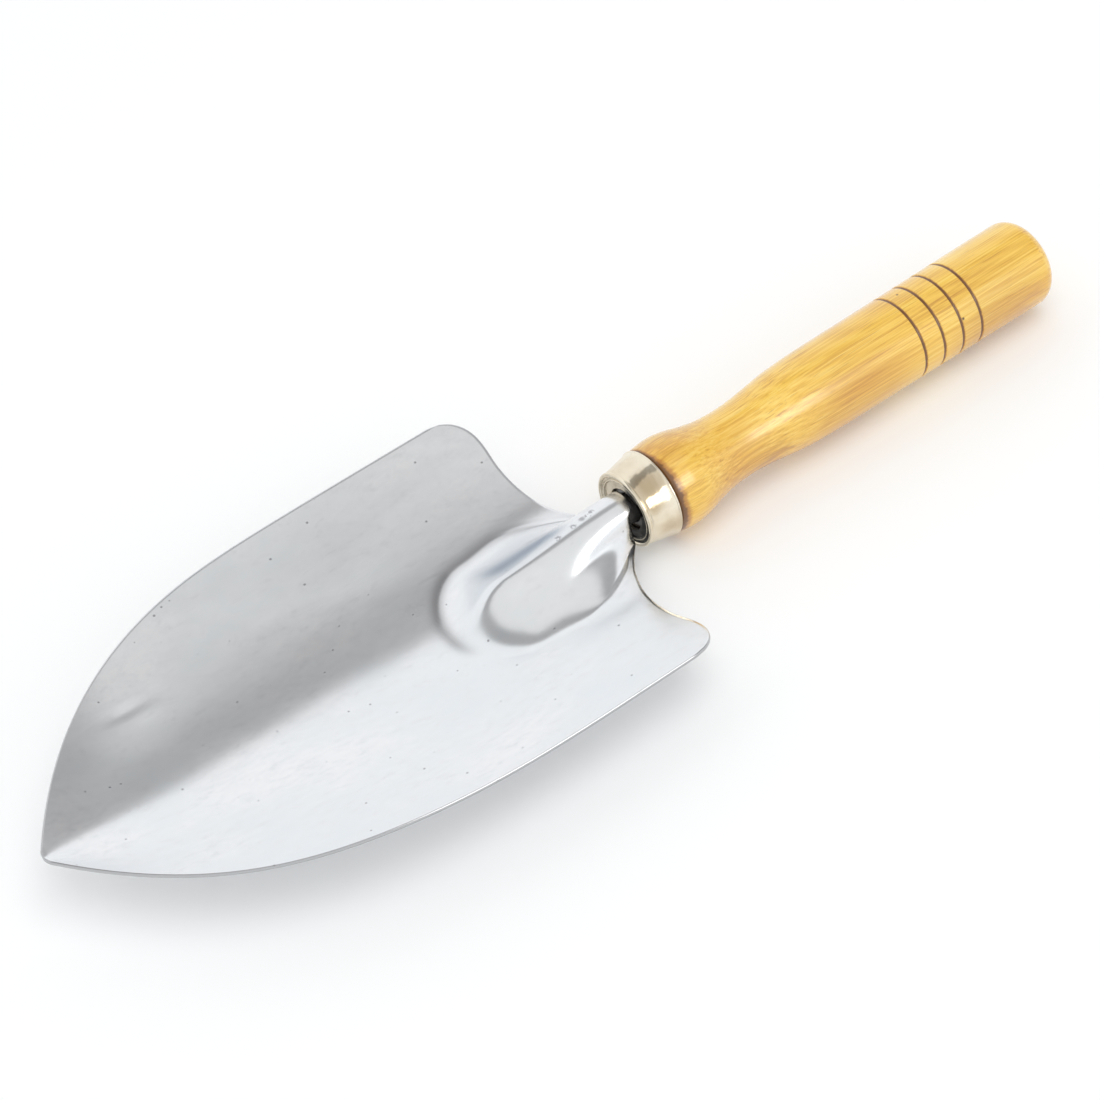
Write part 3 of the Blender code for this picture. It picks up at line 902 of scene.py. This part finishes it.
def make_floor():
    mesh = bpy.data.meshes.new("floor")
    corners = [(-1, -1), (1, -1), (1, 1), (-1, 1)]
    mesh.from_pydata([(FLOOR_SIZE * x, FLOOR_SIZE * y, 0) for x, y in corners], [], [(0, 1, 2, 3)])
    floor = bpy.data.objects.new("floor", mesh)
    bpy.context.scene.collection.objects.link(floor)
    floor.location.z = cad_box[0].z - FLOOR_DROP
    material, _, shader, _ = start_material("floor_finish")
    shader.inputs["Base Color"].default_value = FLOOR_COLOUR
    shader.inputs["Roughness"].default_value = 0.9
    shader.inputs["Specular IOR Level"].default_value = 0.1
    shader.inputs["Emission Color"].default_value = (1.0, 1.0, 1.0, 1.0)
    shader.inputs["Emission Strength"].default_value = FLOOR_GLOW
    mesh.materials.append(material)


def make_lights():
    fill = add_panel("fill", *FILL_LIGHT)
    fill.visible_glossy = False
    side = add_panel("side", *SIDE_LIGHT)
    side.visible_diffuse = False


def make_camera():
    data = bpy.data.cameras.new("camera")
    data.lens = CAMERA_LENS
    data.sensor_width = SENSOR_WIDTH
    data.clip_start, data.clip_end = CLIP_START, CLIP_END
    camera = bpy.data.objects.new("camera", data)
    bpy.context.scene.collection.objects.link(camera)
    a, e, roll = (math.radians(v) for v in (CAMERA_AZIMUTH, CAMERA_ELEVATION, CAMERA_ROLL))
    forward = Vector((-math.sin(a) * math.cos(e), math.cos(a) * math.cos(e), -math.sin(e)))
    level = Vector((math.cos(a), math.sin(a), 0.0))
    upright = level.cross(forward)
    right = level * math.cos(roll) + upright * math.sin(roll)
    up = upright * math.cos(roll) - level * math.sin(roll)
    target = Vector(TARGET) + Vector((FACE_X, 0.0, AXIS_Z))
    turn = Matrix((right, up, -forward)).transposed().to_4x4()
    camera.matrix_world = Matrix.Translation(target - forward * CAMERA_DISTANCE) @ turn
    bpy.context.scene.camera = camera


def make_object():
    grid = sheet_grid()
    verts, faces = shell(grid)
    blade = make_piece("blade_sheet", verts, faces, "blade", plated_steel(), 70)
    add_marks(blade, 2 * grid.shape[0] * grid.shape[1])
    verts, faces = turned(tang_profile(), False)
    make_piece("tang_rod", verts, faces, "tang", raw_steel(), 40)
    verts, faces = turned(ferrule_profile(), True)
    make_piece("ferrule_cup", verts, faces, "ferrule", nickel(), 40)
    verts, faces = turned(handle_profile(), False)
    grip = make_piece("handle_grip", verts, faces, "handle", varnished_wood(), 50)
    add_scorch_and_shade(grip)


make_object()
make_world()
make_floor()
make_lights()
make_camera()
bpy.context.scene.view_settings.view_transform = "Standard"
